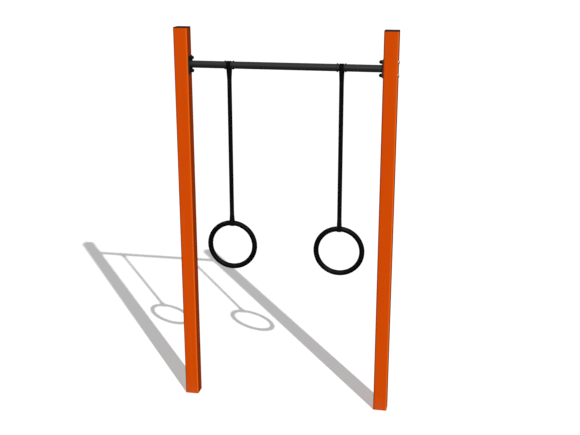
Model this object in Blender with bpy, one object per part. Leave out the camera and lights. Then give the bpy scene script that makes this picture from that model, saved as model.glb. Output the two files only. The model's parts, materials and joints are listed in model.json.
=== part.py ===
"""Outdoor gymnastics rings: two square steel posts, a bolted crossbar and two rings on webbing straps.

Metres, +Z up, +X along the crossbar. The origin is on the ground, midway between the posts.
"""

from math import asin, cos, pi, radians, sin, sqrt

import bmesh
import bpy
from mathutils import Matrix, Vector

# Clearance kept between two pieces that touch, and how far a shape reaches into one that it is joined to.
GAP = 0.0003
OVERLAP = 0.001

# Sides of the round shapes.
BAR_SIDES = 32
BOLT_SIDES = 20
NUT_SIDES = 24
TUBE_SIDES = 12
HOOP_SIDES = 48
EYE_STEPS = 18

# Posts: square steel tube, cut off level with the ground.
OVERALL_HEIGHT = 2.800
POST_SPACING = 1.460
POST_SIZE = 0.100
POST_WALL = 0.004
POST_CORNER = 0.008
CAP_LIP = 0.006
CAP_PLUG_DEPTH = 0.022
CAP_PLUG_WALL = 0.003

# Crossbar and the plates welded to its ends.
BAR_HEIGHT = 2.542
BAR_RADIUS = 0.0508 / 2
BAR_WALL = 0.003
PLATE_WIDTH = 0.080
PLATE_HEIGHT = 0.120
PLATE_THICKNESS = 0.008
PLATE_CORNER = 0.006
WELD_SIZE = 0.0045
WELD_FACE = (0.35, 0.45)
STOP_RING_RADIUS = 0.0305
STOP_RING_WIDTH = 0.009
STOP_RING_CENTRE = 0.394
STOP_RING_OFFSET = 0.0285
STOP_RING_EDGE = 0.0012

# M12 mushroom-head bolts, one above and one below the crossbar.
BOLT_OFFSET = 0.045
BOLT_RADIUS = 0.0059
BOLT_HOLE_RADIUS = 0.00675
BOLT_NECK = 0.0124
BOLT_NECK_HOLE = 0.0132
BOLT_NECK_LENGTH = 0.008
BOLT_HEAD_RADIUS = 0.0150
BOLT_HEAD_HEIGHT = 0.0065
BOLT_THREAD_END = 0.003
BOLT_CHAMFER = 0.001
WASHER_RADIUS = 0.012
WASHER_THICKNESS = 0.0025
NUT_ACROSS_FLATS = 0.019
NUT_HEIGHT = 0.0108
COVER_RADIUS = 0.014
COVER_WALL = 0.0016
COVER_HEIGHT = 0.023
COVER_SKIRT = 0.010

# Rings, hung edge-on to the crossbar's length.
RING_HEIGHT = 1.224
RING_OFFSET = 0.3955
RING_RADIUS = 0.167
RING_TUBE_RADIUS = 0.019

# Straps: 32 mm webbing, two layers sewn together between an eye at each end.
WEBBING_WIDTH = 0.032
WEBBING_THICKNESS = 0.003
BAR_EYE_RADIUS = BAR_RADIUS + GAP
BAR_EYE_NECK = 0.100
BAR_EYE_TAIL = 0.012
RING_EYE_SLACK = 0.0012
RING_EYE_RADIUS = RING_TUBE_RADIUS + RING_EYE_SLACK
RING_EYE_NECK = 0.070
RING_EYE_TAIL = 0.010
SWAY_RELIEF = radians(10.5)

POST_INNER_FACE = POST_SPACING / 2 - POST_SIZE / 2
SIDES = {"left": -1, "right": 1}


def clear_scene():
    for obj in list(bpy.data.objects):
        bpy.data.objects.remove(obj, do_unlink=True)


def material(name, colour, roughness, metallic):
    made = bpy.data.materials.new(name)
    made.use_nodes = True
    shader = made.node_tree.nodes["Principled BSDF"]
    shader.inputs["Base Color"].default_value = (*colour, 1.0)
    shader.inputs["Roughness"].default_value = roughness
    shader.inputs["Metallic"].default_value = metallic
    return made


def empty(name, location, parent=None, rotation=(0, 0, 0)):
    """An axis or a place that pieces are parented to. Its location is in world coordinates at rest."""
    made = bpy.data.objects.new(name, None)
    bpy.context.collection.objects.link(made)
    offset = parent.matrix_world.inverted() @ Vector(location) if parent else Vector(location)
    made.parent = parent
    made.location = offset
    made.rotation_euler = rotation
    bpy.context.view_layer.update()
    return made


def add_object(name, bm, finish, parent=None, location=(0, 0, 0), smooth=0):
    """A mesh object from bm. Edges under smooth degrees are shaded smooth."""
    bmesh.ops.recalc_face_normals(bm, faces=bm.faces)
    mesh = bpy.data.meshes.new(name)
    bm.to_mesh(mesh)
    bm.free()
    mesh.materials.append(finish)
    if smooth:
        mesh.shade_smooth()
        mesh.set_sharp_from_angle(angle=radians(smooth))
    obj = bpy.data.objects.new(name, mesh)
    bpy.context.collection.objects.link(obj)
    obj.parent = parent
    obj.location = location
    return obj


def boolean(obj, bm, operation, name):
    """Cuts bm from obj, or joins it, with bm placed in obj's own space."""
    tool = add_object(name, bm, obj.data.materials[0], parent=obj)
    tool.hide_render = True
    tool.display_type = "WIRE"
    modifier = obj.modifiers.new(name, "BOOLEAN")
    modifier.operation = operation
    modifier.object = tool
    modifier.solver = "EXACT"


def rounded_rectangle(width, depth, radius, steps=4):
    """Outline points, counter-clockwise, of a rectangle centred on the origin."""
    points = []
    corners = [(1, 1), (-1, 1), (-1, -1), (1, -1)]
    for quarter, (sx, sy) in enumerate(corners):
        cx, cy = sx * (width / 2 - radius), sy * (depth / 2 - radius)
        for step in range(steps + 1):
            turn = pi / 2 * (quarter + step / steps)
            points.append((cx + radius * cos(turn), cy + radius * sin(turn)))
    return points


def polygon(sides, radius, start=0.0):
    return [
        (radius * cos(start + 2 * pi * i / sides), radius * sin(start + 2 * pi * i / sides))
        for i in range(sides)
    ]


def extrude_outline(outline, low, high, hole=None):
    """A prism along Z. A hole outline with as many points as the outer one makes it a tube."""
    bm = bmesh.new()
    outer = [bm.verts.new((x, y, low)) for x, y in outline]
    if hole is None:
        faces = [bm.faces.new(outer)]
    else:
        inner = [bm.verts.new((x, y, low)) for x, y in hole]
        count = len(outer)
        faces = [
            bm.faces.new((outer[i], outer[(i + 1) % count], inner[(i + 1) % count], inner[i]))
            for i in range(count)
        ]
    extruded = bmesh.ops.extrude_face_region(bm, geom=faces, use_keep_orig=True)["geom"]
    raised = [item for item in extruded if isinstance(item, bmesh.types.BMVert)]
    bmesh.ops.translate(bm, vec=(0, 0, high - low), verts=raised)
    return bm


def lathe(profile, segments, closed=False):
    """Turns (radius, z) points about Z. A closed profile makes a ring, an open one ends on the axis."""
    bm = bmesh.new()
    rows = []
    for radius, z in profile:
        if radius < 1e-9:
            rows.append([bm.verts.new((0, 0, z))] * segments)
        else:
            rows.append([bm.verts.new((x, y, z)) for x, y in polygon(segments, radius)])
    pairs = list(zip(rows, rows[1:] + rows[:1])) if closed else list(zip(rows, rows[1:]))
    for below, above in pairs:
        for i in range(segments):
            j = (i + 1) % segments
            corners = list(dict.fromkeys((below[i], below[j], above[j], above[i])))
            if len(corners) > 2:
                bm.faces.new(corners)
    return bm


def quarter_ellipse(radius, height, base, steps):
    """Profile points from the rim of a dome up to its top on the axis."""
    turns = [pi / 2 * i / steps for i in range(steps + 1)]
    points = [(radius * cos(turn), base + height * sin(turn)) for turn in turns]
    points[-1] = (0.0, base + height)
    return points


def turned(bm, matrix):
    bmesh.ops.transform(bm, matrix=matrix, verts=bm.verts)
    return bm


def along_x(bm):
    """Lays a piece made along Z down so that its +Z points to +X."""
    return turned(bm, Matrix.Rotation(pi / 2, 4, "Y"))


def eye_loop(eye_radius, neck, tail, end_steps):
    """A webbing eye: a band round a circle whose two legs meet at the neck and run on as a sewn tail.

    The eye's centre is the origin, the tail points to +Z and the band's width lies along X.
    The tail's end is flat with end_steps 0, and otherwise a half-round of that many steps.
    """
    layer = WEBBING_THICKNESS
    lean = asin(eye_radius / neck)
    outer_radius = eye_radius + layer
    reach = (outer_radius * cos(lean) - layer) / sin(lean)
    fork = outer_radius * sin(lean) + reach * cos(lean)
    steps = EYE_STEPS
    turns = [lean - (pi + 2 * lean) * i / steps for i in range(steps + 1)]
    bm = bmesh.new()

    def vert(y, z):
        return bm.verts.new((-WEBBING_WIDTH / 2, y, z))

    outer = [vert(outer_radius * cos(t), outer_radius * sin(t)) for t in turns]
    inner = [vert(eye_radius * cos(t), eye_radius * sin(t)) for t in turns]
    apex = vert(0, neck)
    fork_front, fork_back = vert(-layer, fork), vert(layer, fork)
    end = neck + tail
    if end_steps:
        rounds = [pi * i / end_steps for i in range(end_steps + 1)]
        ends = [vert(layer * cos(t), end + layer * sin(t)) for t in rounds]
    else:
        ends = [vert(layer, end), vert(-layer, end)]
    faces = [
        bm.faces.new((outer[i], outer[i + 1], inner[i + 1], inner[i])) for i in range(steps)
    ]
    faces.append(bm.faces.new((fork_back, outer[0], inner[0], apex)))
    faces.append(bm.faces.new((fork_front, apex, inner[-1], outer[-1])))
    faces.append(bm.faces.new((fork_back, apex, fork_front)))
    faces.append(bm.faces.new([fork_back, *ends, fork_front]))
    extruded = bmesh.ops.extrude_face_region(bm, geom=faces, use_keep_orig=True)["geom"]
    widened = [item for item in extruded if isinstance(item, bmesh.types.BMVert)]
    bmesh.ops.translate(bm, vec=(WEBBING_WIDTH, 0, 0), verts=widened)
    return bm


def make_post(side, sign, coat):
    """A square tube with two bolt holes through it, round in its inner wall and square in its outer one."""
    bore = POST_SIZE - 2 * POST_WALL
    height = OVERALL_HEIGHT - CAP_LIP - GAP
    outline = rounded_rectangle(POST_SIZE, POST_SIZE, POST_CORNER)
    hole = rounded_rectangle(bore, bore, POST_CORNER - POST_WALL)
    tube = extrude_outline(outline, 0, height, hole)
    post = add_object(f"{side}_post", tube, coat, location=(sign * POST_SPACING / 2, 0, 0), smooth=30)
    round_hole = polygon(BOLT_SIDES, BOLT_HOLE_RADIUS)
    square_hole = polygon(4, BOLT_NECK_HOLE / sqrt(2), pi / 4)
    for level, up in (("upper", 1), ("lower", -1)):
        for wall, face, shape in (("inner", -sign, round_hole), ("outer", sign, square_hole)):
            place = Matrix.Translation((face * POST_SIZE / 2, 0, BAR_HEIGHT + up * BOLT_OFFSET))
            drill = along_x(extrude_outline(shape, -2 * POST_WALL, 2 * POST_WALL))
            boolean(post, turned(drill, place), "DIFFERENCE", f"{side}_{level}_{wall}_hole")


def make_post_cap(side, sign, plastic):
    """A moulded lid over the tube's end, with a hollow plug that fills its bore."""
    top = OVERALL_HEIGHT
    lid = extrude_outline(rounded_rectangle(POST_SIZE, POST_SIZE, POST_CORNER), top - CAP_LIP, top)
    plug_size = POST_SIZE - 2 * POST_WALL - 2 * GAP
    bore_size = plug_size - 2 * CAP_PLUG_WALL
    cap = add_object(f"{side}_post_cap", lid, plastic, location=(sign * POST_SPACING / 2, 0, 0), smooth=30)
    plug = extrude_outline(
        rounded_rectangle(plug_size, plug_size, POST_CORNER - POST_WALL),
        top - CAP_LIP - CAP_PLUG_DEPTH,
        top - CAP_LIP / 2,
        rounded_rectangle(bore_size, bore_size, CAP_PLUG_WALL / 3),
    )
    boolean(cap, plug, "UNION", f"{side}_cap_plug")


def make_crossbar(coat):
    """A round steel tube from one end plate to the other."""
    length = 2 * (POST_INNER_FACE - GAP - PLATE_THICKNESS - GAP)
    outer, inner = polygon(BAR_SIDES, BAR_RADIUS), polygon(BAR_SIDES, BAR_RADIUS - BAR_WALL)
    tube = extrude_outline(outer, -length / 2, length / 2, inner)
    add_object("crossbar", along_x(tube), coat, location=(0, 0, BAR_HEIGHT), smooth=30)


def make_end_plate(side, sign, coat):
    """The plate that is bolted to the post, with the weld fillet that holds the bar."""
    plate = extrude_outline(
        rounded_rectangle(PLATE_HEIGHT, PLATE_WIDTH, PLATE_CORNER), 0, PLATE_THICKNESS
    )
    face = empty(
        f"{side}_plate_seat",
        (sign * (POST_INNER_FACE - GAP), 0, BAR_HEIGHT),
        rotation=(0, -sign * pi / 2, 0),
    )
    obj = add_object(f"{side}_end_plate", plate, coat, parent=face, smooth=30)
    for level, up in (("upper", 1), ("lower", -1)):
        hole = polygon(BOLT_SIDES, BOLT_HOLE_RADIUS)
        drill = extrude_outline(hole, -PLATE_THICKNESS, 2 * PLATE_THICKNESS)
        place = Matrix.Translation((up * BOLT_OFFSET, 0, 0))
        boolean(obj, turned(drill, place), "DIFFERENCE", f"{side}_plate_{level}_bore")
    inner = BAR_RADIUS + GAP
    root = PLATE_THICKNESS - OVERLAP
    out, rise = (WELD_SIZE * share for share in WELD_FACE)
    fillet = [
        (inner, root),
        (inner + WELD_SIZE, root),
        (inner + WELD_SIZE, PLATE_THICKNESS),
        (inner + out, PLATE_THICKNESS + rise),
        (inner, PLATE_THICKNESS + WELD_SIZE),
    ]
    boolean(obj, lathe(fillet, BAR_SIDES, closed=True), "UNION", f"{side}_weld")


def make_stop_ring(name, x, coat):
    """A collar on the bar that keeps a strap from creeping along it."""
    half, inner, edge = STOP_RING_WIDTH / 2, BAR_RADIUS + GAP, STOP_RING_EDGE
    profile = [
        (inner, -half),
        (STOP_RING_RADIUS - edge, -half),
        (STOP_RING_RADIUS, edge - half),
        (STOP_RING_RADIUS, half - edge),
        (STOP_RING_RADIUS - edge, half),
        (inner, half),
    ]
    ring = along_x(lathe(profile, BAR_SIDES, closed=True))
    add_object(name, ring, coat, location=(x, 0, BAR_HEIGHT), smooth=30)


def make_bolt_set(side, sign, level, up, steel, plastic):
    """Bolt, washer, nut and cover on one axis. Local +Z runs from the post's outer face to its inner one."""
    axis = empty(
        f"{side}_{level}_bolt_axis",
        (sign * (POST_SPACING / 2 + POST_SIZE / 2), 0, BAR_HEIGHT + up * BOLT_OFFSET),
        rotation=(0, -sign * pi / 2, 0),
    )
    name = f"{side}_{level}"
    plate_face = POST_SIZE + GAP + PLATE_THICKNESS
    washer_base = plate_face + GAP
    nut_base = washer_base + WASHER_THICKNESS + GAP
    tip = nut_base + NUT_HEIGHT + BOLT_THREAD_END
    bore = BOLT_RADIUS + GAP

    head = [
        (r, -GAP - z) for r, z in reversed(quarter_ellipse(BOLT_HEAD_RADIUS, BOLT_HEAD_HEIGHT, 0, 5))
    ]
    shank = [
        (BOLT_RADIUS, -GAP),
        (BOLT_RADIUS, tip - BOLT_CHAMFER),
        (BOLT_RADIUS - BOLT_CHAMFER, tip),
        (0, tip),
    ]
    bolt = add_object(f"{name}_bolt", lathe(head + shank, BOLT_SIDES), steel, parent=axis, smooth=40)
    square = polygon(4, BOLT_NECK / sqrt(2), pi / 4)
    neck = extrude_outline(square, -GAP - OVERLAP, BOLT_NECK_LENGTH)
    boolean(bolt, neck, "UNION", f"{name}_bolt_neck")

    washer = [
        (bore, washer_base),
        (WASHER_RADIUS, washer_base),
        (WASHER_RADIUS, washer_base + WASHER_THICKNESS),
        (bore, washer_base + WASHER_THICKNESS),
    ]
    add_object(f"{name}_washer", lathe(washer, NUT_SIDES, closed=True), steel, parent=axis, smooth=30)

    corners = polygon(6, NUT_ACROSS_FLATS / sqrt(3))
    steps = NUT_SIDES // 6
    hexagon = []
    for i, (x, y) in enumerate(corners):
        nx, ny = corners[(i + 1) % 6]
        hexagon += [(x + (nx - x) * k / steps, y + (ny - y) * k / steps) for k in range(steps)]
    nut = extrude_outline(hexagon, nut_base, nut_base + NUT_HEIGHT, polygon(NUT_SIDES, bore))
    add_object(f"{name}_nut", nut, steel, parent=axis, smooth=20)

    base = plate_face + GAP
    inner = COVER_RADIUS - COVER_WALL
    room = tip + GAP - base
    shell = [
        (COVER_RADIUS, base),
        *quarter_ellipse(COVER_RADIUS, COVER_HEIGHT - COVER_SKIRT, base + COVER_SKIRT, 6),
    ]
    cavity = quarter_ellipse(inner, COVER_WALL, base + room, 2)
    cover = lathe([*shell, *reversed(cavity), (inner, base)], NUT_SIDES, closed=True)
    add_object(f"{name}_bolt_cover", cover, plastic, parent=axis, smooth=35)


def make_strap_and_ring(side, sign, fabric, rubber):
    """The parts that hang from the bar, each parented to the axis that it turns on."""
    x = sign * RING_OFFSET
    tube_top = RING_HEIGHT + RING_RADIUS
    sway_z = BAR_HEIGHT - BAR_EYE_NECK - BAR_EYE_TAIL - GAP
    neck_z = tube_top + RING_EYE_NECK + RING_EYE_TAIL
    twist_z = (sway_z + neck_z) / 2

    swing = empty(f"{side}_swing_axis", (x, 0, BAR_HEIGHT))
    sway = empty(f"{side}_sway_axis", (x, 0, sway_z), swing)
    twist = empty(f"{side}_twist_axis", (x, 0, twist_z), sway)
    flex = empty(f"{side}_flex_axis", (x, 0, neck_z), twist)
    spin = empty(f"{side}_spin_axis", (x, 0, RING_HEIGHT), flex)

    bar_eye = turned(eye_loop(BAR_EYE_RADIUS, BAR_EYE_NECK, BAR_EYE_TAIL, 0), Matrix.Rotation(pi, 4, "X"))
    add_object(f"{side}_strap_bar_eye", bar_eye, fabric, parent=swing, smooth=30)

    half, layer = WEBBING_WIDTH / 2, WEBBING_THICKNESS
    relief = half * sin(SWAY_RELIEF) / cos(SWAY_RELIEF)
    length = sway_z - twist_z - GAP / 2
    outline = [(-half, -relief), (-half, -length), (half, -length), (half, -relief), (0, 0)]
    upright = Matrix.Rotation(pi / 2, 4, "X")
    upper = turned(extrude_outline(outline, -layer, layer), upright)
    add_object(f"{side}_strap_upper", upper, fabric, parent=sway)

    end = neck_z + layer + 2 * GAP - twist_z
    lower = extrude_outline([(half, layer), (-half, layer), (-half, -layer), (half, -layer)], end, -GAP / 2)
    add_object(f"{side}_strap_lower", lower, fabric, parent=twist)

    ring_eye = eye_loop(RING_EYE_RADIUS, RING_EYE_NECK, RING_EYE_TAIL, 6)
    to_flex = Matrix.Translation((0, 0, tube_top - neck_z))
    add_object(f"{side}_strap_ring_eye", turned(ring_eye, to_flex), fabric, parent=flex, smooth=30)

    section = [(RING_RADIUS + y, z) for y, z in polygon(TUBE_SIDES, RING_TUBE_RADIUS)]
    ring = turned(lathe(section, HOOP_SIDES, closed=True), upright)
    add_object(f"{side}_ring", ring, rubber, parent=spin, smooth=60)


def main():
    clear_scene()
    orange = material("orange_powder_coat", (0.62, 0.085, 0.006), 0.38, 0.0)
    black = material("black_powder_coat", (0.035, 0.035, 0.037), 0.45, 0.0)
    steel = material("stainless_steel", (0.62, 0.62, 0.60), 0.32, 1.0)
    plastic = material("black_plastic", (0.012, 0.012, 0.012), 0.5, 0.0)
    fabric = material("black_webbing", (0.010, 0.010, 0.010), 0.85, 0.0)
    rubber = material("black_ring_coating", (0.010, 0.010, 0.010), 0.55, 0.0)

    make_crossbar(black)
    for side, sign in SIDES.items():
        make_post(side, sign, orange)
        make_post_cap(side, sign, plastic)
        make_end_plate(side, sign, black)
        for level, up in (("upper", 1), ("lower", -1)):
            make_bolt_set(side, sign, level, up, steel, plastic)
        for place, direction in (("inner", -1), ("outer", 1)):
            x = sign * (STOP_RING_CENTRE + direction * STOP_RING_OFFSET)
            make_stop_ring(f"{side}_{place}_stop_ring", x, black)
        make_strap_and_ring(side, sign, fabric, rubber)


main()
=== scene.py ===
"""Looks of the outdoor rings station: powder-coated steel, sewn webbing straps and moulded rings.

Metres, in the row frame: +Z up, +X along the crossbar to the right post, the ground at z = 0.
"""

import json
from math import acos, atan2, ceil, cos, pi, radians, sin

import bmesh
import bpy
from mathutils import Matrix, Vector


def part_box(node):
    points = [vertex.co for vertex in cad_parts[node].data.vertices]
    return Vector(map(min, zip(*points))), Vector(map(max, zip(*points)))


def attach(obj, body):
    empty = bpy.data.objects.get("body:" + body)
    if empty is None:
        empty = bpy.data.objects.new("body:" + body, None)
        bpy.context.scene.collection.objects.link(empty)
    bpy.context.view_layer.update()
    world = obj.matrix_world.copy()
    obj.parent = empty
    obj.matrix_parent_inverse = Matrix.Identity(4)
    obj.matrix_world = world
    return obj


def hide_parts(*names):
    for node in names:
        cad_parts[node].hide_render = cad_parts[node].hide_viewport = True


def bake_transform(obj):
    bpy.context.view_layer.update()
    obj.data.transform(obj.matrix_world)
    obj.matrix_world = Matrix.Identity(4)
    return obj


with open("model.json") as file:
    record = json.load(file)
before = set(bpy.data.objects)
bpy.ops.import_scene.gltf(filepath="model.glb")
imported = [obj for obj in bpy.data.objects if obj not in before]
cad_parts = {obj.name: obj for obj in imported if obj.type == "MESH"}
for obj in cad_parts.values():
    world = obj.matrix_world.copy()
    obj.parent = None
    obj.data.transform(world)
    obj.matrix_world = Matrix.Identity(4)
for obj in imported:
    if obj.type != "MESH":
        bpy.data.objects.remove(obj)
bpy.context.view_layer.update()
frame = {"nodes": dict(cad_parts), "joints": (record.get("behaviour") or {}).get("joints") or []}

SIDES = {"left": -1, "right": 1}

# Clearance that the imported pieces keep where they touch.
GAP = 0.0003

# Steps in each quarter turn of the round shapes and edges.
EDGE_STEPS = 6
PIN_STEPS = 6
BOLT_STEPS = 8
PLATE_STEPS = 8
COVER_STEPS = 12
CORNER_STEPS = 10
COLLAR_STEPS = 24
BAR_STEPS = 32

# Steelwork.
POST_WALL = 0.004
POST_CORNER = 0.008
BAR_WALL = 0.003
PLATE_CORNER = 0.006
EDGE_BREAK = 0.0008
COLLAR_EASE = 0.0014
WELD_LEG = 0.0045
WELD_ROOT = 0.0008
WELD_RIPPLES = 44
WELD_BULGE = 0.16
BOLT_NECK = 0.0124
BOLT_NECK_LENGTH = 0.008
BOLT_RADIUS = 0.0059
BOLT_CHAMFER = 0.001
BOLT_HOLE_RADIUS = 0.00675
BOLT_NECK_HOLE = 0.0132
HEAD_RIM = 0.0009
HEAD_STEPS = 12

# How far the drill for an end plate's bolt holes reaches, out of its outer face and through it.
PLATE_DRILL = (-0.005, 0.015)

# Moulded caps. The crown's loops are shares of the cap's width.
CAP_PLUG_WALL = 0.003
CAP_ROUNDING = 0.0022
CAP_CROWN = 0.0012
CROWN_SHARES = (0.85, 0.62, 0.38, 0.15)
CROWN_CORNER = 0.08

# Bolt covers: a dome on a skirt, hollow inside. The hollow's loops are angles up its dome.
COVER_RIM = 0.0022
COVER_WALL = 0.0016
COVER_SKIRT = 0.40
DOME_STEPS = 14.5
HOLLOW_TURNS = (1.45, 1.1, 0.7, 0.3, 0.0)

# Straps: two layers of webbing, woven from cords and sewn through with thick thread.
LAYER = 0.003
LAYER_THICKNESS = 0.00298
LAYER_EDGE = 0.46
BAR_EYE_NECK = 0.1004
RING_EYE_NECK = 0.0704
NECK_BEND = 0.007
NECK_STEPS = 6
EYE_STEPS = 40
SEWN_END = 0.030
STATION = 0.002
RUN_STATION = 0.006
WEFT_PITCH = 0.0013

# Offsets up from a strap's sway joint and from its flex joint, handed to its eyes as start and end.
SWAY_BEND = (0.008, -0.016)
FLEX_BEND = (0.013, -0.013)

# Sewing.
STITCH_PITCH = 0.0046
STITCH_LENGTH = 0.0036
THREAD_RADIUS = 0.00034
THREAD_SIDES = 6
SEAM_INSET = 0.0027
TACK_CLEARANCE = 0.0015
TACK_LENGTH = 0.0034
TACK_PITCH = 0.0008
BOX_CLEARANCE = 0.002
BOX_INSET = 0.0022
BOX_HEIGHT = 0.021

# Loops along a stitch: share of its length, then how high and how thick it is there, in thread radii.
STITCH_SHAPE = ((0.0, -0.6, 0.5), (0.2, 0.35, 0.95), (0.8, 0.35, 0.95), (1.0, -0.6, 0.5))

# Rings.
PARTING_LINE = 0.00018
RING_SEGMENTS = 160
RING_CORNERS = 40

# Floor: its half width, its depth under the object, and its own glow, which keeps it white.
FLOOR_REACH = 120.0
FLOOR_DROP = 0.0004
FLOOR_GLOW = 0.265

# Light: how bright the white surrounding is as light, and low down and overhead in reflections.
WORLD_LIGHT = 0.22
LOW_REFLECTION = 0.02
OVERHEAD_REFLECTION = 0.80
OVERHEAD_SPAN = (0.10, 0.75)

# Suns: direction, strength and width in degrees.
SHADOW_LIGHT = ((-0.81, 1.17, -1.0), 3.4, 0.5)
KEY_LIGHT = ((-0.21, 0.85, -0.48), 2.95, 14.0)
BACK_LIGHT = ((0.65, -0.62, -0.28), 2.0, 20.0)

# Camera.
CAMERA_PLACE = (1.2123, -6.1587, 3.3486)
CAMERA_TURN = (pi / 2 - 0.2931, 0.0, 0.1887)
CAMERA_LENS = 56.25
CAMERA_SENSOR = 36.0
CAMERA_REACH = 500.0


# Materials


class Finish:
    """A material whose nodes end in one Principled shader."""

    def __init__(self, name, constants):
        self.material = bpy.data.materials.new(f"{name}_look")
        self.material["slot"] = name
        self.material.use_nodes = True
        self.tree = self.material.node_tree
        self.shader = self.tree.nodes["Principled BSDF"]
        for socket, value in constants.items():
            self.shader.inputs[socket].default_value = value

    def node(self, kind, *values, **settings):
        made = self.tree.nodes.new(kind)
        for name, value in settings.items():
            setattr(made, name, value)
        for socket, value in zip(made.inputs, values):
            self.feed(socket, value)
        return made

    def feed(self, socket, value):
        if isinstance(value, bpy.types.NodeSocket):
            self.tree.links.new(value, socket)
        elif value is not None:
            socket.default_value = value

    def math(self, operation, *values):
        return self.node("ShaderNodeMath", *values, operation=operation).outputs[0]

    def point(self):
        """A place on the piece in metres, which moves with it."""
        return self.node("ShaderNodeTexCoord").outputs["Object"]

    def scaled(self, point, *scales):
        made = self.node("ShaderNodeVectorMath", point, scales, operation="MULTIPLY")
        return made.outputs[0]

    def axes(self, point):
        return self.node("ShaderNodeSeparateXYZ", point).outputs

    def noise(self, point, scale, detail=2.0, roughness=0.5):
        made = self.node("ShaderNodeTexNoise")
        self.feed(made.inputs["Vector"], point)
        self.feed(made.inputs["Scale"], scale)
        self.feed(made.inputs["Detail"], detail)
        self.feed(made.inputs["Roughness"], roughness)
        return made.outputs["Fac"]

    def cells(self, point, scale):
        made = self.node("ShaderNodeTexVoronoi")
        self.feed(made.inputs["Vector"], point)
        self.feed(made.inputs["Scale"], scale)
        return made.outputs["Distance"]

    def spread(self, value, low, high, to_low=0.0, to_high=1.0):
        """Smoothly to_low where value is low and to_high where it is high."""
        made = self.node("ShaderNodeMapRange", value, low, high, to_low, to_high)
        made.interpolation_type = "SMOOTHSTEP"
        return made.outputs[0]

    def mix(self, share, first, second):
        made = self.node("ShaderNodeMix", data_type="RGBA")
        self.feed(made.inputs["Factor"], share)
        for name, colour in (("A", first), ("B", second)):
            socket = [s for s in made.inputs if s.name == name and s.type == "RGBA"][0]
            self.feed(socket, (*colour, 1.0) if isinstance(colour, tuple) else colour)
        return [s for s in made.outputs if s.type == "RGBA"][0]

    def bump(self, height, distance, under=None):
        made = self.node("ShaderNodeBump")
        self.feed(made.inputs["Height"], height)
        self.feed(made.inputs["Distance"], distance)
        self.feed(made.inputs["Normal"], under)
        return made.outputs["Normal"]

    def done(self, colour, roughness, normal):
        self.feed(self.shader.inputs["Base Color"], colour)
        self.feed(self.shader.inputs["Roughness"], roughness)
        self.feed(self.shader.inputs["Normal"], normal)
        return self.material


def orange_coat(post_offset, post_half):
    """Semi-gloss powder coat: orange peel, a dusty foot, rain streaks, chipped corners, and painted
    highlight and painted shade along the corners.
    """
    deep, light = (0.600, 0.062, 0.0008), (0.635, 0.069, 0.0014)
    rained, muddy, steel = (0.680, 0.100, 0.004), (0.300, 0.190, 0.110), (0.110, 0.100, 0.095)
    # Painted shade and painted highlight tones for the post corners.
    corner_shade, corner_highlight = (0.250, 0.029, 0.002), (0.850, 0.128, 0.006)
    gloss = {"Specular IOR Level": 0.12, "Specular Tint": (1.0, 0.50, 0.20, 1.0)}
    finish = Finish("orange_powder_coat", gloss)
    point = finish.point()
    x, y, z = finish.axes(point)
    side = finish.math("SUBTRACT", x, finish.math("MULTIPLY", finish.math("SIGN", x), post_offset))
    drift = finish.noise(point, 5.0, 3.0)
    colour = finish.mix(drift, deep, light)

    streaks = finish.noise(finish.scaled(point, 70.0, 70.0, 1.6), 1.0, 3.0)
    faded = finish.math("MULTIPLY", finish.spread(streaks, 0.52, 0.75), 0.22)
    colour = finish.mix(faded, colour, rained)

    foot = finish.spread(z, 0.30, 0.0)
    splash = finish.math("MULTIPLY", finish.noise(point, 26.0, 6.0, 0.62), foot)
    dust = finish.math("MULTIPLY", finish.spread(splash, 0.34, 0.62), 0.10)
    colour = finish.mix(dust, colour, muddy)

    corner = finish.math("MINIMUM", finish.math("ABSOLUTE", side), finish.math("ABSOLUTE", y))
    rim = finish.spread(corner, post_half - 0.0050, post_half - 0.0022)
    # Painted light along the post corners: painted highlight on the corners on the +X side, painted
    # shade on the front corner on the -X side.
    painted_corner_light = finish.spread(corner, post_half - 0.0115, post_half - 0.0042, 0.0, 0.88)
    highlight_side = finish.spread(side, -post_half / 2, post_half / 2)
    front = finish.spread(y, post_half / 2, -post_half / 2)
    painted_corner_light = finish.math("MULTIPLY", painted_corner_light, finish.math("MAXIMUM", highlight_side, front))
    colour = finish.mix(painted_corner_light, colour, finish.mix(highlight_side, corner_shade, corner_highlight))
    grit = finish.noise(point, 120.0, 5.0, 0.6)
    chips = finish.math("MULTIPLY", rim, finish.spread(grit, 0.655, 0.675))
    colour = finish.mix(chips, colour, steel)

    scuffs = finish.noise(finish.scaled(point, 30.0, 30.0, 9.0), 4.0, 5.0, 0.7)
    dull = finish.math("MAXIMUM", finish.spread(scuffs, 0.60, 0.72), dust)
    satin = finish.spread(drift, 0.3, 0.7, 0.33, 0.41)
    rough = finish.math("ADD", satin, finish.math("MULTIPLY", dull, 0.22))
    peel = finish.bump(finish.noise(point, 360.0, 1.5), 0.00014)
    pitted = finish.bump(finish.math("SUBTRACT", 1.0, chips), 0.00012, peel)
    return finish.done(colour, rough, pitted)


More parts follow.
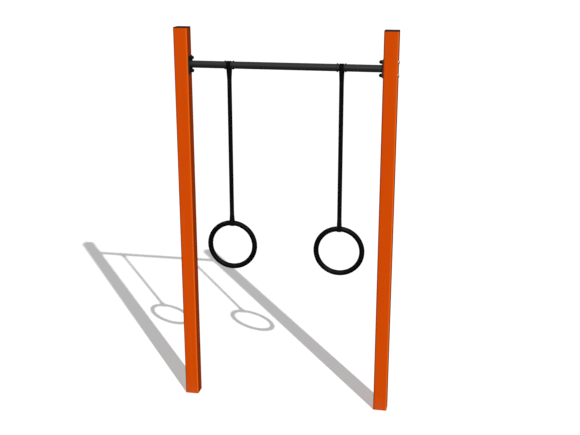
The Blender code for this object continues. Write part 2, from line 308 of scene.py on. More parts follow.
def black_coat():
    """Fine-texture black powder coat: a grainy skin, rubbed smoother in places, dusty on top."""
    deep, light, dusty = (0.014, 0.014, 0.015), (0.021, 0.021, 0.022), (0.105, 0.100, 0.092)
    finish = Finish("black_powder_coat", {"Specular IOR Level": 0.19})
    point = finish.point()
    cloud = finish.noise(finish.scaled(point, 7.0, 40.0, 40.0), 1.0, 4.0)
    colour = finish.mix(cloud, deep, light)
    normal = finish.node("ShaderNodeNewGeometry").outputs["Normal"]
    up = finish.spread(finish.axes(normal)[2], 0.35, 1.0)
    settled = finish.math("MULTIPLY", up, finish.spread(finish.noise(point, 45.0, 5.0), 0.40, 0.75))
    dust = finish.math("MULTIPLY", settled, 0.16)
    colour = finish.mix(dust, colour, dusty)
    rubbed = finish.spread(finish.noise(finish.scaled(point, 9.0, 60.0, 60.0), 1.0, 4.0), 0.55, 0.75)
    smoother = finish.math("MULTIPLY", rubbed, 0.14)
    rough = finish.math("SUBTRACT", finish.math("ADD", 0.50, dust), smoother)
    grain = finish.math("SUBTRACT", 1.0, finish.cells(point, 900.0))
    return finish.done(colour, rough, finish.bump(grain, 0.00010))


def stainless():
    """Stainless steel fasteners, tumbled: fine scratches, a faint warm film in the low spots."""
    bright, warm = (0.640, 0.640, 0.630), (0.520, 0.480, 0.420)
    finish = Finish("stainless_steel", {"Metallic": 0.88})
    point = finish.point()
    film = finish.spread(finish.noise(point, 220.0, 4.0), 0.45, 0.75)
    colour = finish.mix(film, bright, warm)
    scratches = finish.noise(finish.scaled(point, 2600.0, 700.0, 5200.0), 1.0, 2.0)
    rough = finish.math("ADD", 0.22, finish.math("MULTIPLY", scratches, 0.20))
    return finish.done(colour, rough, finish.bump(scratches, 0.00001))


def black_plastic():
    """Moulded black plastic: spark-eroded grain, greyed a little by the sun, a few scuffs."""
    fresh, grey, scuffed = (0.0032, 0.0032, 0.0032), (0.0070, 0.0070, 0.0068), (0.020, 0.020, 0.019)
    finish = Finish("black_plastic", {"Specular IOR Level": 0.07})
    point = finish.point()
    greyed = finish.spread(finish.noise(point, 60.0, 5.0), 0.35, 0.75)
    colour = finish.mix(greyed, fresh, grey)
    scuffs = finish.noise(finish.scaled(point, 300.0, 60.0, 300.0), 1.0, 5.0, 0.7)
    worn = finish.math("MULTIPLY", finish.spread(scuffs, 0.60, 0.70), 0.35)
    colour = finish.mix(worn, colour, scuffed)
    rough = finish.math("ADD", 0.44, finish.math("MULTIPLY", greyed, 0.12))
    return finish.done(colour, rough, finish.bump(finish.noise(point, 1500.0, 2.0), 0.00010))


def ring_skin():
    """Matt moulded skin of the rings: fine leather-like grain, polished where hands hold it."""
    fresh, held, pale = (0.0012, 0.0012, 0.0012), (0.0028, 0.0028, 0.0027), (0.014, 0.014, 0.013)
    finish = Finish("black_ring_coating", {"Specular IOR Level": 0.08})
    point = finish.point()
    worn = finish.spread(finish.noise(point, 16.0, 4.0), 0.40, 0.70)
    colour = finish.mix(worn, fresh, held)
    grazes = finish.noise(finish.scaled(point, 260.0, 900.0, 260.0), 1.0, 6.0, 0.7)
    grazed = finish.math("MULTIPLY", finish.spread(grazes, 0.62, 0.74), 0.45)
    colour = finish.mix(grazed, colour, pale)
    rough = finish.math("SUBTRACT", 0.62, finish.math("MULTIPLY", worn, 0.16))
    pebbles = finish.bump(finish.cells(point, 620.0), 0.00011)
    grain = finish.bump(finish.noise(point, 1900.0, 2.0), 0.00003, pebbles)
    return finish.done(colour, rough, grain)


def webbing(width):
    """Black polyester webbing: cords along it, crossed by chevrons of weft, placed by its UV map."""
    # hollow and crest are the painted shade and painted highlight of the weave; fibre is the tone of
    # frayed fibres.
    hollow, crest_highlight, fibre = (0.0003, 0.0003, 0.0004), (0.0098, 0.0098, 0.0100), (0.015, 0.0145, 0.014)
    matt = {"Specular IOR Level": 0.05, "Sheen Weight": 0.006, "Sheen Roughness": 0.45}
    finish = Finish("black_webbing", matt)
    weave = finish.node("ShaderNodeUVMap", uv_map="weave").outputs[0]
    across, along, _ = finish.axes(weave)
    cords, picks, chevrons = 24, width / WEFT_PITCH, 2
    cord = finish.math("ABSOLUTE", finish.math("SINE", finish.math("MULTIPLY", across, cords * pi)))
    zigzag = finish.math("PINGPONG", across, 0.5 / chevrons)
    slant = finish.math("MULTIPLY", zigzag, cords / 2.0)
    phase = finish.math("ADD", finish.math("MULTIPLY", along, picks), slant)
    weft = finish.math("SINE", finish.math("MULTIPLY", phase, 2 * pi))
    twill = finish.math("MULTIPLY", cord, finish.spread(weft, -1.0, 1.0, 0.35, 1.0))

    centred = finish.math("ABSOLUTE", finish.math("SUBTRACT", across, 0.5))
    seam = 0.5 - SEAM_INSET / width
    off_seam = finish.math("ABSOLUTE", finish.math("SUBTRACT", centred, seam))
    pull = finish.spread(off_seam, 0.0, 0.045, 0.0, 1.0)
    relief = finish.math("ADD", twill, finish.math("MULTIPLY", pull, 1.4))

    fluff = finish.noise(finish.scaled(weave, 60.0, 60.0, 1.0), 1.0, 5.0, 0.65)
    # Painted light on the weave: painted shade in its hollows and painted highlight on its crests,
    # varied by fluff.
    lit = finish.math("MULTIPLY", twill, finish.spread(fluff, 0.30, 0.75, 0.5, 1.0))
    colour = finish.mix(lit, hollow, crest_highlight)
    edge = finish.spread(centred, 0.475, 0.5)
    fuzz = finish.spread(finish.noise(finish.scaled(weave, 30.0, 14.0, 1.0), 1.0, 5.0), 0.48, 0.72)
    frayed = finish.math("MULTIPLY", edge, finish.math("MULTIPLY", fuzz, 0.35))
    colour = finish.mix(frayed, colour, fibre)
    rough = finish.math("SUBTRACT", 0.88, finish.math("MULTIPLY", twill, 0.12))
    return finish.done(colour, rough, finish.bump(relief, 0.00026))


def thread():
    """Bonded sewing thread: two plies twisted round each other."""
    # Painted shade in the valleys between the plies and painted highlight on their crests.
    valley_shade, crest_highlight = (0.0070, 0.0070, 0.0070), (0.0260, 0.0260, 0.0250)
    satin = {"Specular IOR Level": 0.12, "Sheen Weight": 0.02, "Sheen Roughness": 0.35}
    finish = Finish("black_thread", satin)
    across, along, _ = finish.axes(finish.node("ShaderNodeUVMap", uv_map="weave").outputs[0])
    turns, slant = finish.math("MULTIPLY", along, 190.0), finish.math("MULTIPLY", across, 260.0)
    lay = finish.math("ADD", turns, slant)
    ply = finish.spread(finish.math("SINE", lay), -1.0, 1.0)
    colour = finish.mix(ply, valley_shade, crest_highlight)
    rough = finish.math("SUBTRACT", 0.62, finish.math("MULTIPLY", ply, 0.18))
    return finish.done(colour, rough, finish.bump(ply, 0.00012))


# Shapes


def outline(width, depth, radius, steps):
    """Points round a rectangle with round corners. With radius at half of each side it is a circle."""
    points = []
    for quarter, (sx, sy) in enumerate([(1, 1), (-1, 1), (-1, -1), (1, -1)]):
        centre = Vector((sx * (width / 2 - radius), sy * (depth / 2 - radius)))
        for step in range(steps):
            turn = pi / 2 * (quarter + (step + 0.5) / steps)
            points.append(centre + radius * Vector((cos(turn), sin(turn))))
    return points


def circle(radius, steps):
    return outline(2 * radius, 2 * radius, radius, steps)


def level(points, z):
    """The same points at that height."""
    return [(x, y, z) for x, y in points]


def loft(loops, ring=False):
    """A skin over neighbouring loops. A ring's last loop meets its first, and other ends are closed."""
    bm = bmesh.new()
    rows = [[bm.verts.new(point) for point in loop] for loop in loops]
    pairs = list(zip(rows, rows[1:]))
    if ring:
        pairs.append((rows[-1], rows[0]))
    else:
        bm.faces.new(rows[0])
        bm.faces.new(rows[-1])
    for low, high in pairs:
        for i in range(len(low)):
            j = (i + 1) % len(low)
            bm.faces.new((low[i], low[j], high[j], high[i]))
    return bm


def turned(profile, steps, ring=False):
    """A skin of circles from (radius, z) pairs."""
    return loft([level(circle(radius, steps), z) for radius, z in profile], ring)


def piece(name, bm, place, finishes, sharp=35):
    """A mesh object from bm, moved to its place in the row frame. Its first finish names its slot."""
    bmesh.ops.transform(bm, matrix=place, verts=bm.verts)
    bmesh.ops.recalc_face_normals(bm, faces=bm.faces)
    mesh = bpy.data.meshes.new(name)
    bm.to_mesh(mesh)
    bm.free()
    for finish in finishes:
        mesh.materials.append(finish)
    mesh.shade_smooth()
    mesh.set_sharp_from_angle(angle=radians(sharp))
    obj = bpy.data.objects.new(name, mesh)
    bpy.context.collection.objects.link(obj)
    return obj


def steelwork(name, bm, place, finish, nodes):
    """A rigid piece of the frame, which takes the place of nodes."""
    obj = piece(name, bm, place, [finish])
    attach(obj, "frame")
    if nodes:
        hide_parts(*nodes)
    return obj


def drill(obj, cutters):
    """Cuts each closed mesh of cutters from obj."""
    for index, bm in enumerate(cutters):
        name = f"{obj.name}_cutter_{index}"
        bmesh.ops.recalc_face_normals(bm, faces=bm.faces)
        mesh = bpy.data.meshes.new(name)
        bm.to_mesh(mesh)
        bm.free()
        cutter = bpy.data.objects.new(name, mesh)
        bpy.context.collection.objects.link(cutter)
        modifier = obj.modifiers.new(name, "BOOLEAN")
        modifier.object = cutter
        with bpy.context.temp_override(object=obj):
            bpy.ops.object.modifier_apply(modifier=name)
        bpy.data.objects.remove(cutter)


def keep_flats(obj):
    """Shades flat sides flat, right up to their round edges."""
    shading = obj.modifiers.new("flat sides", "WEIGHTED_NORMAL")
    shading.keep_sharp = True
    shading.weight = 100


def outer_x(node, sign):
    """Where a node ends on its outer side, which is the side away from the middle."""
    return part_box(node)[sign > 0].x


def inward(sign):
    """Turns +Z to run along the crossbar from that side's post towards the middle."""
    return Matrix.Rotation(-sign * pi / 2, 4, "Y")


def pin(place, radius, low, high):
    """A closed cylinder along the place's Z."""
    bm = turned([(radius, low), (radius, high)], PIN_STEPS)
    bmesh.ops.transform(bm, matrix=place, verts=bm.verts)
    return bm


# Frame


def bolt_places(side, sign, depth):
    """The axes of a side's two bolts, +Z inward, with their origin depth in from the outer face."""
    seat = outer_x(f"{side}_post", sign) - sign * depth
    for name in ("upper", "lower"):
        centre = sum(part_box(f"{side}_{name}_bolt"), Vector()) / 2
        yield name, Matrix.Translation((seat, 0, centre.z)) @ inward(sign)


def make_post(side, sign, coat):
    """The square tube, with the bolt holes that the plates and bolt heads cover."""
    low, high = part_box(f"{side}_post")
    width = high.x - low.x
    bore = width - 2 * POST_WALL
    eased = width - EDGE_BREAK
    outer = outline(width, width, POST_CORNER, CORNER_STEPS)
    inner = outline(bore, bore, POST_CORNER - POST_WALL, CORNER_STEPS)
    rim = outline(eased, eased, POST_CORNER - EDGE_BREAK / 2, CORNER_STEPS)
    loops = [
        level(inner, low.z),
        level(rim, low.z),
        level(outer, low.z + EDGE_BREAK / 2),
        level(outer, high.z - EDGE_BREAK / 2),
        level(rim, high.z),
        level(inner, high.z),
    ]
    place = Matrix.Translation(((low.x + high.x) / 2, 0, 0))
    post = steelwork(f"{side}_post_tube", loft(loops, ring=True), place, coat, [f"{side}_post"])
    cutters = []
    for _, axis in bolt_places(side, sign, 0.0):
        square = outline(BOLT_NECK_HOLE, BOLT_NECK_HOLE, EDGE_BREAK, 2)
        punch = loft([level(square, -POST_WALL), level(square, 2 * POST_WALL)])
        bmesh.ops.transform(punch, matrix=axis, verts=punch.verts)
        cutters += [punch, pin(axis, BOLT_HOLE_RADIUS, width / 2, width + POST_WALL)]
    drill(post, cutters)
    keep_flats(post)


def make_post_cap(side, plastic):
    """A moulded lid with a soft edge and a slight crown, and the hollow plug under it."""
    low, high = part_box(f"{side}_post_cap")
    width = high.x - low.x
    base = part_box(f"{side}_post")[1].z + GAP
    plug = width - 2 * POST_WALL - 2 * GAP
    bore = plug - 2 * CAP_PLUG_WALL
    plug_corner, bore_corner = POST_CORNER - POST_WALL, CAP_PLUG_WALL / 3

    def square(size, radius, z):
        return level(outline(size, size, radius, CORNER_STEPS), z)

    ceiling = base + EDGE_BREAK
    loops = [
        square(bore / 5, bore_corner, ceiling),
        square(bore, bore_corner, ceiling),
        square(bore, bore_corner, low.z),
        square(plug - EDGE_BREAK, plug_corner, low.z),
        square(plug, plug_corner, low.z + 2 * EDGE_BREAK),
        square(plug, plug_corner, base),
        square(width - EDGE_BREAK, POST_CORNER, base),
        square(width, POST_CORNER, base + EDGE_BREAK / 2),
    ]
    rim = high.z - CAP_CROWN
    for step in range(EDGE_STEPS + 1):
        turn = pi / 2 * step / EDGE_STEPS
        inset, fall = 2 * CAP_ROUNDING * (1 - cos(turn)), CAP_ROUNDING * (1 - sin(turn))
        loops.append(square(width - inset, POST_CORNER - inset / 2, rim - fall))
    for share in CROWN_SHARES:
        size = width * share
        loops.append(square(size, size * CROWN_CORNER, high.z - CAP_CROWN * share * share))
    place = Matrix.Translation(((low.x + high.x) / 2, 0, 0))
    keep_flats(steelwork(f"{side}_post_lid", loft(loops), place, plastic, [f"{side}_post_cap"]))


def make_crossbar(coat):
    """The round tube between the two plates."""
    low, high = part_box("crossbar")
    radius, half = (high.z - low.z) / 2, (high.x - low.x) / 2
    loops = [
        (radius - BAR_WALL, -half),
        (radius - EDGE_BREAK, -half),
        (radius, EDGE_BREAK - half),
        (radius, half - EDGE_BREAK),
        (radius - EDGE_BREAK, half),
        (radius - BAR_WALL, half),
    ]
    place = Matrix.Translation((0, 0, (low.z + high.z) / 2)) @ inward(-1)
    steelwork("crossbar_tube", turned(loops, BAR_STEPS, ring=True), place, coat, ["crossbar"])


def make_end_plate(side, sign, coat):
    """The bolted plate with eased edges, and the rippled weld bead that joins the bar to it."""
    low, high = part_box(f"{side}_end_plate")
    bar_low, bar_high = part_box("crossbar")
    outer_face = outer_x(f"{side}_end_plate", sign)
    thickness = abs(outer_face - outer_x("crossbar", sign)) - GAP
    height, width = high.z - low.z, high.y - low.y
    place = Matrix.Translation((outer_face, 0, (low.z + high.z) / 2)) @ inward(sign)
    ease = EDGE_BREAK

    def rim(inset, z):
        sides = height - 2 * inset, width - 2 * inset
        return level(outline(*sides, PLATE_CORNER - inset, PLATE_STEPS), z)

    loops = [rim(ease, 0), rim(ease / 4, ease / 4), rim(0, ease)]
    loops += [rim(0, thickness - ease), rim(ease / 4, thickness - ease / 4), rim(ease, thickness)]
    plate = steelwork(f"{side}_bolted_plate", loft(loops), place, coat, [f"{side}_end_plate"])
    depth = abs(outer_face - outer_x(f"{side}_post", sign))
    axes = [axis for _, axis in bolt_places(side, sign, depth)]
    drill(plate, [pin(axis, BOLT_HOLE_RADIUS, *PLATE_DRILL) for axis in axes])
    keep_flats(plate)

    bead = weld_bead((bar_high.z - bar_low.z) / 2, thickness)
    steelwork(f"{side}_weld_bead", bead, place, coat, [])


def weld_bead(bar_radius, base):
    """A fillet round the bar, in overlapping ripples whose pitch and size wander a little."""
    root, segments = bar_radius - WELD_ROOT, 8 * WELD_RIPPLES
    loops = []
    for segment in range(segments):
        turn = 2 * pi * segment / segments
        wander = 0.9 * sin(3 * turn + 1) + 0.5 * sin(7 * turn)
        ripple = (0.5 + 0.5 * cos(WELD_RIPPLES * turn + wander)) ** 0.6
        reach = WELD_LEG * (0.88 + 0.045 * ripple + 0.03 * sin(5 * turn + 2))
        section = [(root, base - WELD_ROOT), (root + WELD_ROOT + reach, base - WELD_ROOT)]
        for step in range(EDGE_STEPS + 1):
            arc = pi / 2 * step / EDGE_STEPS
            bulge = 1 + WELD_BULGE * sin(2 * arc)
            out, rise = reach * cos(arc) ** 1.4 * bulge, reach * sin(arc) ** 1.4 * bulge
            section.append((root + WELD_ROOT + out, base + rise))
        section.append((root, base + reach))
        loops.append([(r * cos(turn), r * sin(turn), z) for r, z in section])
    return loft(loops, ring=True)


def make_collar(node, coat):
    """A stop ring with round-eased edges."""
    low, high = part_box(node)
    radius, half = (high.z - low.z) / 2, (high.x - low.x) / 2
    bar_low, bar_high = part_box("crossbar")
    bore = (bar_high.z - bar_low.z) / 2 + GAP
    ease = COLLAR_EASE
    profile = [(bore + EDGE_BREAK / 2, -half), (radius - ease, -half)]
    for end in (-1, 1):
        for step in range(1, EDGE_STEPS):
            share = step / EDGE_STEPS
            turn = pi / 2 * (share if end < 0 else 1 - share)
            profile.append((radius - ease * (1 - sin(turn)), end * (half - ease * (1 - cos(turn)))))
    profile += [(radius - ease, half), (bore + EDGE_BREAK / 2, half)]
    profile += [(bore, half - EDGE_BREAK / 2), (bore, EDGE_BREAK / 2 - half)]
    place = Matrix.Translation((low + high) / 2) @ inward(-1)
    skin = turned(profile, COLLAR_STEPS, ring=True)
    steelwork(node.replace("stop_ring", "collar"), skin, place, coat, [node])


def bolt_head(radius, rise):
    """Loops of a mushroom head, from near its crown down to its seat."""
    profile = []
    for step in range(HEAD_STEPS):
        turn = pi / 2 * (step + 0.4) / (HEAD_STEPS + 0.4)
        profile.append((radius * sin(turn), -HEAD_RIM - (rise - HEAD_RIM) * cos(turn)))
    profile += [(radius, -HEAD_RIM * 0.6), (radius - EDGE_BREAK / 2, -GAP)]
    return [level(circle(r, BOLT_STEPS), z) for r, z in profile]


def make_bolt(name, place, rise, steel):
    """A mushroom head with its square neck and its shank."""
    low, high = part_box(name)
    tip = high.x - low.x - rise
    neck = outline(BOLT_NECK, BOLT_NECK, EDGE_BREAK, BOLT_STEPS)
    loops = [
        *bolt_head((high.z - low.z) / 2, rise),
        level(neck, -GAP),
        level(neck, BOLT_NECK_LENGTH),
        level(circle(BOLT_RADIUS, BOLT_STEPS), BOLT_NECK_LENGTH + BOLT_CHAMFER),
        level(circle(BOLT_RADIUS, BOLT_STEPS), tip - BOLT_CHAMFER),
        level(circle(BOLT_RADIUS - BOLT_CHAMFER, BOLT_STEPS), tip),
    ]
    steelwork(name.replace("bolt", "dome_bolt"), loft(loops), place, steel, [name])


def make_bolt_cover(name, place, base, plastic):
    """A thin domed cover with a small rim at its foot, open towards the plate."""
    low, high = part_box(name)
    radius, height = (high.z - low.z) / 2, high.x - low.x
    skirt, body = base + COVER_SKIRT * height, radius - EDGE_BREAK
    ease = EDGE_BREAK / 2
    hollow, ceiling = body - COVER_WALL, (1 - COVER_SKIRT) * height - COVER_WALL
    profile = [(hollow * cos(turn), skirt + ceiling * sin(turn)) for turn in HOLLOW_TURNS]
    profile += [(hollow, base), (radius - ease, base), (radius, base + ease)]
    profile += [(radius, base + COVER_RIM - ease), (radius - ease, base + COVER_RIM)]
    profile.append((body, base + COVER_RIM + ease))
    for step in range(ceil(DOME_STEPS)):
        turn = pi / 2 * step / DOME_STEPS
        profile.append((body * cos(turn), skirt + (1 - COVER_SKIRT) * height * sin(turn)))
    skin = turned(profile, COVER_STEPS)
    steelwork(name.replace("bolt_cover", "dust_cap"), skin, place, plastic, [name])


def make_bolts(side, sign, steel, plastic):
    """A side's bolts and the covers over their nuts."""
    outer_face = outer_x(f"{side}_post", sign)
    for name, place in bolt_places(side, sign, 0.0):
        bolt = f"{side}_{name}_bolt"
        make_bolt(bolt, place, abs(outer_x(bolt, sign) - outer_face), steel)
        cover = f"{bolt}_cover"
        make_bolt_cover(cover, place, abs(outer_x(cover, sign) - outer_face), plastic)


# Straps and rings


class Run:
    """The centre line of one webbing layer, in the plane of a strap's thickness.

    Points are (y, z, hug), where hug is how much of the ring's curve the layer follows across it.
    The layer's outer side is on the right of the line as it is walked, seen from +X.
    """

    def __init__(self, x, points, ring_radius):
        self.x, self.ring_radius = x, ring_radius
        self.points = [Vector(p) for p in points]
        self.lengths = [0.0]
        for a, b in zip(self.points, self.points[1:]):
            self.lengths.append(self.lengths[-1] + (b.xy - a.xy).length)
        self.total = self.lengths[-1]
        self.normals = []
        for i in range(len(self.points)):
            a, b = self.points[max(i - 1, 0)], self.points[min(i + 1, len(self.points) - 1)]
            way = (b.xy - a.xy).normalized()
            self.normals.append(Vector((-way.y, way.x)))

    def on(self, centre, normal, across, height):
        """A point across the layer from a point of the line, at that height towards its outer side."""
        y, z = centre.xy + normal * height
        drop = centre.z * across * across / (2 * self.ring_radius)
        return Vector((self.x + across, y, z - drop))

    def at(self, across, along, height):
        """The same, from a distance along the line."""
        i = min(sum(length < along for length in self.lengths[1:]), len(self.points) - 2)
        share = (along - self.lengths[i]) / (self.lengths[i + 1] - self.lengths[i])
        centre = self.points[i].lerp(self.points[i + 1], share)
        normal = self.normals[i].lerp(self.normals[i + 1], share).normalized()
        return self.on(centre, normal, across, height)


def eye_points(radius, neck, end, flip, middle_z):
    """A layer that runs from end to an eye, round it and back.

    The eye's centre is at middle_z, and end and neck are distances from it. The strap runs up from the
    eye, or down with flip. Without flip, hug falls from 1 at the eye to 0 at the end of its neck.
    """
    half = LAYER / 2
    fork = Vector((half, neck))
    lean = atan2(half, neck) + acos(radius / fork.length)
    touch = radius * Vector((sin(lean), cos(lean)))
    low, high = fork + (touch - fork).normalized() * NECK_BEND, Vector((half, neck + NECK_BEND))

    side = []
    count = ceil((end - high.y) / STATION)
    side += [Vector((half, end)).lerp(high, i / count) for i in range(count)]
    shares = [i / NECK_STEPS for i in range(NECK_STEPS)]
    side += [high.lerp(fork, share).lerp(fork.lerp(low, share), share) for share in shares]
    count = ceil((touch - low).length / (3 * STATION))
    side += [low.lerp(touch, i / count) for i in range(count)]
    turns = [lean + (2 * pi - 2 * lean) * i / EYE_STEPS for i in range(EYE_STEPS + 1)]
    arc = [radius * Vector((sin(turn), cos(turn))) for turn in turns]
    path = side + arc + [Vector((-p.x, p.y)) for p in reversed(side)]
    way = -1 if flip else 1
    points = []
    for p in path:
        hug = 0.0 if flip else min(max(1 - p.y / neck, 0.0), 1.0)
        points.append((way * p.x, middle_z + way * p.y, hug))
    return points


def cover_rows(bm, uv, rows, material):
    """Faces over neighbouring rows of (vertex, UV place) pairs, and over their two ends."""
    faces = [rows[0], rows[-1]]
    for low, high in zip(rows, rows[1:]):
        for i in range(len(low)):
            j = (i + 1) % len(low)
            faces.append([low[i], low[j], high[j], high[i]])
    for corners in faces:
        face = bm.faces.new([vert for vert, _ in corners])
        face.material_index = material
        for loop, (_, place) in zip(face.loops, corners):
            loop[uv].uv = place


def weave_layer(bm, uv, run, width):
    """The layer's solid: a flat band with round edges."""
    section = outline(width, LAYER_THICKNESS, LAYER_THICKNESS * LAYER_EDGE, 4)
    stations = []
    for centre, normal, along in zip(run.points, run.normals, run.lengths):
        row = []
        for across, height in section:
            vert = bm.verts.new(run.on(centre, normal, across, height))
            row.append((vert, (across / width + 0.5, along / width)))
        stations.append(row)
    cover_rows(bm, uv, stations, 0)


def stitch(bm, uv, run, start, end, width):
    """One stitch on the layer's outer side between two (across, along) places, its ends sunk in."""
    surface = LAYER_THICKNESS / 2
    a, b = Vector(start), Vector(end)
    way = (b - a).normalized()
    side = Vector((way.y, -way.x))
    rings = []
    for share, rise, thick in STITCH_SHAPE:
        middle = a.lerp(b, share)
        ring = []
        for corner in range(THREAD_SIDES):
            turn = 2 * pi * corner / THREAD_SIDES
            flat = middle + side * (THREAD_RADIUS * thick * cos(turn))
            height = surface + THREAD_RADIUS * (rise + thick * sin(turn))
            vert = bm.verts.new(run.at(flat.x, flat.y, height))
            ring.append((vert, (flat.x / width + 0.5, flat.y / width)))
        rings.append(ring)
    cover_rows(bm, uv, rings, 1)


def seam(bm, uv, run, start, end, width):
    """A row of stitches between two (across, along) places."""
    a, b = Vector(start), Vector(end)
    count = max(1, round((b - a).length / STITCH_PITCH))
    cover = STITCH_LENGTH / STITCH_PITCH
    for i in range(count):
        stitch(bm, uv, run, a.lerp(b, i / count), a.lerp(b, (i + cover) / count), width)


def sewn_neck(bm, uv, run, near, far, width):
    """The stitching past an eye's neck: a bar tack at near, a crossed box, and seams out to far."""
    way = 1 if far > near else -1
    edge = width / 2 - SEAM_INSET
    tack_end = near + way * TACK_LENGTH
    count = round(2 * edge / TACK_PITCH)
    for i in range(count + 1):
        across = -edge + 2 * edge * i / count
        stitch(bm, uv, run, (across, near), (across, tack_end), width)
    low = tack_end + way * BOX_CLEARANCE
    high = low + way * BOX_HEIGHT
    inner = edge - BOX_INSET
    for across in (-edge, edge):
        seam(bm, uv, run, (across, low), (across, far), width)
    for along in (low, high):
        seam(bm, uv, run, (-inner, along), (inner, along), width)
    for across in (-inner, inner):
        seam(bm, uv, run, (across, low), (-across, high), width)


def make_strap(side, fabric, sewing):
    """One strap in three pieces, which meet edge to edge."""
    joints = {j["name"]: Vector(j["pos_m"]) for j in frame["joints"]}
    sway, flex = joints[f"{side}_sway"], joints[f"{side}_flex"]
    bar, spin = joints[f"{side}_swing"], joints[f"{side}_ring_spin"]
    low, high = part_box(f"{side}_ring")
    ring_radius = (high.z - low.z) / 2 - (high.y - low.y) / 2
    tube_z = spin.z + ring_radius
    low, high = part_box(f"{side}_strap_bar_eye")
    width = high.x - low.x
    top_end, bottom_end = sway.z - SEWN_END, flex.z + SEWN_END
    x, finishes = bar.x, [fabric, sewing]

    def new_mesh():
        bm = bmesh.new()
        return bm, bm.loops.layers.uv.new("weave")

    def sewn(name, bm, nodes):
        obj = piece(name, bm, Matrix.Identity(4), finishes, sharp=50)
        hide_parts(*nodes)
        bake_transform(obj)

    def sewn_eye(name, node, neck, length, flip, middle_z, bodies, start, end):
        low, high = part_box(node)
        radius = (high.y - low.y) / 2 - LAYER / 2
        bm, uv = new_mesh()
        run = Run(x, eye_points(radius, neck, length, flip, middle_z), ring_radius)
        weave_layer(bm, uv, run, width)
        near = length - neck - TACK_CLEARANCE
        sewn_neck(bm, uv, run, near, 0.0, width)
        sewn_neck(bm, uv, run, run.total - near, run.total, width)
        sewn(name, bm, [node])

    node, bodies = f"{side}_strap_bar_eye", (f"{side}_bar_eye", f"{side}_upper_strap")
    bend = [sway.z + offset for offset in SWAY_BEND]
    length = bar.z - top_end
    sewn_eye(f"{side}_strap_top", node, BAR_EYE_NECK, length, True, bar.z, bodies, *bend)

    edge = width / 2 - SEAM_INSET
    count = ceil((top_end - bottom_end) / RUN_STATION)
    bm, uv = new_mesh()
    for way in (-1, 1):
        y = way * LAYER / 2
        start, stop = (bottom_end, top_end) if way < 0 else (top_end, bottom_end)
        points = [(y, start + (stop - start) * i / count, 0.0) for i in range(count + 1)]
        run = Run(x, points, ring_radius)
        weave_layer(bm, uv, run, width)
        for across in (-edge, edge):
            seam(bm, uv, run, (across, 0.0), (across, run.total), width)
    nodes = [f"{side}_strap_upper", f"{side}_strap_lower"]
    bodies = (f"{side}_upper_strap", f"{side}_lower_strap")
    sewn(f"{side}_strap_run", bm, nodes)

    node, bodies = f"{side}_strap_ring_eye", (f"{side}_lower_strap", f"{side}_ring_eye")
    bend = [flex.z + offset for offset in FLEX_BEND]
    length = bottom_end - tube_z
    sewn_eye(f"{side}_strap_bottom", node, RING_EYE_NECK, length, False, tube_z, bodies, *bend)


def make_ring(side, skin):
    """The moulded hoop, with the fine parting line that its mould leaves round it."""
    low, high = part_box(f"{side}_ring")
    tube = (high.y - low.y) / 2
    radius = (high.z - low.z) / 2 - tube
    loops = []
    for segment in range(RING_SEGMENTS):
        turn = 2 * pi * segment / RING_SEGMENTS
        loop = []
        for corner in range(RING_CORNERS):
            side_turn = 2 * pi * corner / RING_CORNERS
            flash = PARTING_LINE if corner in (0, RING_CORNERS // 2) else 0.0
            out = radius + (tube + flash) * cos(side_turn)
            loop.append((out * cos(turn), tube * sin(side_turn), out * sin(turn)))
        loops.append(loop)
    place = Matrix.Translation((low + high) / 2)
    obj = piece(f"{side}_hand_ring", loft(loops, ring=True), place, [skin], sharp=60)
    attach(obj, f"{side}_hoop")
    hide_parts(f"{side}_ring")


# Stage


def make_stage():
    """A plain white floor and soft light. One sun lights only the floor, for the shadow on it."""
    bm = bmesh.new()
    bmesh.ops.create_grid(bm, x_segments=1, y_segments=1, size=FLOOR_REACH)
    mesh = bpy.data.meshes.new("floor")
    bm.to_mesh(mesh)
    bm.free()
    floor = bpy.data.objects.new("floor", mesh)
    floor.location.z = -FLOOR_DROP
    bpy.context.collection.objects.link(floor)
    chalk = {
        "Base Color": (0.95, 0.95, 0.95, 1.0),
        "Roughness": 1.0,
        "Specular IOR Level": 0.0,
        "Emission Color": (1.0, 1.0, 1.0, 1.0),
        "Emission Strength": FLOOR_GLOW,
    }
    mesh.materials.append(Finish("floor", chalk).material)
    floor.visible_diffuse = False
    floor.visible_glossy = False
    make_world()
    lit = bpy.data.collections.new("floor only")
    lit.objects.link(floor)
    rest = bpy.data.collections.new("object only")
    rest.objects.link(floor)
    rest.collection_objects[0].light_linking.link_state = "EXCLUDE"
    make_sun("shadow_light", *SHADOW_LIGHT, lit)
    make_sun("key_light", *KEY_LIGHT, rest)
    back_light = make_sun("back_light", *BACK_LIGHT, rest)
    back_light.visible_glossy = False


def make_sun(name, direction, strength, angle, receivers):
    """A sun that shines along direction, on the objects of one collection only."""
    light = bpy.data.lights.new(name, "SUN")
    light.energy = strength
    light.angle = radians(angle)
    obj = bpy.data.objects.new(name, light)
    obj.rotation_euler = Vector(direction).to_track_quat("-Z", "Y").to_euler()
    obj.light_linking.receiver_collection = receivers
    bpy.context.collection.objects.link(obj)
    return obj


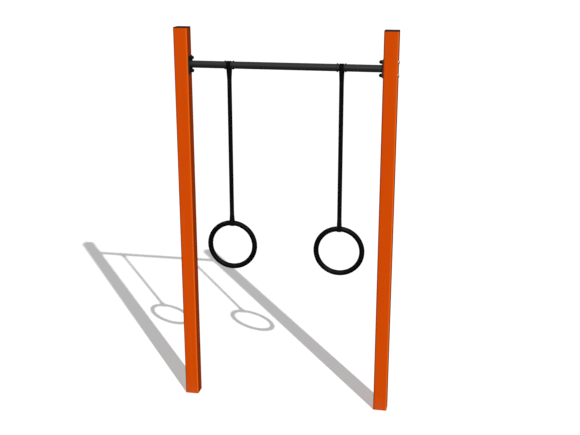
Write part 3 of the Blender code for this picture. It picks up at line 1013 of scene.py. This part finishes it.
def make_world():
    """A white surrounding that shows brighter than it lights. Gloss reflects it only from overhead."""
    world = bpy.data.worlds.new("studio")
    world.use_nodes = True
    world.cycles.sampling_method = "NONE"
    nodes, links = world.node_tree.nodes, world.node_tree.links
    light = nodes["Background"]
    light.inputs["Color"].default_value = (1.0, 1.0, 1.0, 1.0)
    rays = nodes.new("ShaderNodeLightPath")
    way = nodes.new("ShaderNodeTexCoord")
    height = nodes.new("ShaderNodeSeparateXYZ")
    softbox = nodes.new("ShaderNodeMapRange")
    softbox.interpolation_type = "SMOOTHSTEP"
    softbox.inputs["From Min"].default_value = OVERHEAD_SPAN[0]
    softbox.inputs["From Max"].default_value = OVERHEAD_SPAN[1]
    softbox.inputs["To Min"].default_value = LOW_REFLECTION
    softbox.inputs["To Max"].default_value = OVERHEAD_REFLECTION
    chosen = nodes.new("ShaderNodeMapRange")
    chosen.inputs["To Min"].default_value = WORLD_LIGHT
    seen = nodes.new("ShaderNodeMath")
    seen.operation = "MAXIMUM"
    links.new(way.outputs["Generated"], height.inputs[0])
    links.new(height.outputs["Z"], softbox.inputs["Value"])
    links.new(rays.outputs["Is Glossy Ray"], chosen.inputs["Value"])
    links.new(softbox.outputs["Result"], chosen.inputs["To Max"])
    links.new(chosen.outputs["Result"], seen.inputs[0])
    links.new(rays.outputs["Is Camera Ray"], seen.inputs[1])
    links.new(seen.outputs[0], light.inputs["Strength"])
    bpy.context.scene.world = world


def make_camera():
    """The view from the front, a little to the right and above."""
    camera = bpy.data.cameras.new("camera")
    camera.lens = CAMERA_LENS
    camera.sensor_width = CAMERA_SENSOR
    camera.clip_end = CAMERA_REACH
    obj = bpy.data.objects.new("camera", camera)
    obj.location = CAMERA_PLACE
    obj.rotation_euler = CAMERA_TURN
    bpy.context.collection.objects.link(obj)
    bpy.context.scene.camera = obj
    bpy.context.scene.view_settings.view_transform = "Standard"


def main():
    low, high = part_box("right_post")
    orange = orange_coat((low.x + high.x) / 2, (high.x - low.x) / 2)
    black, steel, plastic, skin = black_coat(), stainless(), black_plastic(), ring_skin()
    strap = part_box("left_strap_bar_eye")
    fabric, sewing = webbing(strap[1].x - strap[0].x), thread()

    make_crossbar(black)
    for side, sign in SIDES.items():
        make_post(side, sign, orange)
        make_post_cap(side, plastic)
        make_end_plate(side, sign, black)
        make_bolts(side, sign, steel, plastic)
        for place in ("inner", "outer"):
            make_collar(f"{side}_{place}_stop_ring", black)
        for bolt in ("upper", "lower"):
            for hidden in ("washer", "nut"):
                node = frame["nodes"][f"{side}_{bolt}_{hidden}"]
                node.data.materials.clear()
                node.data.materials.append(steel)
        make_strap(side, fabric, sewing)
        make_ring(side, skin)
    make_stage()
    make_camera()


main()
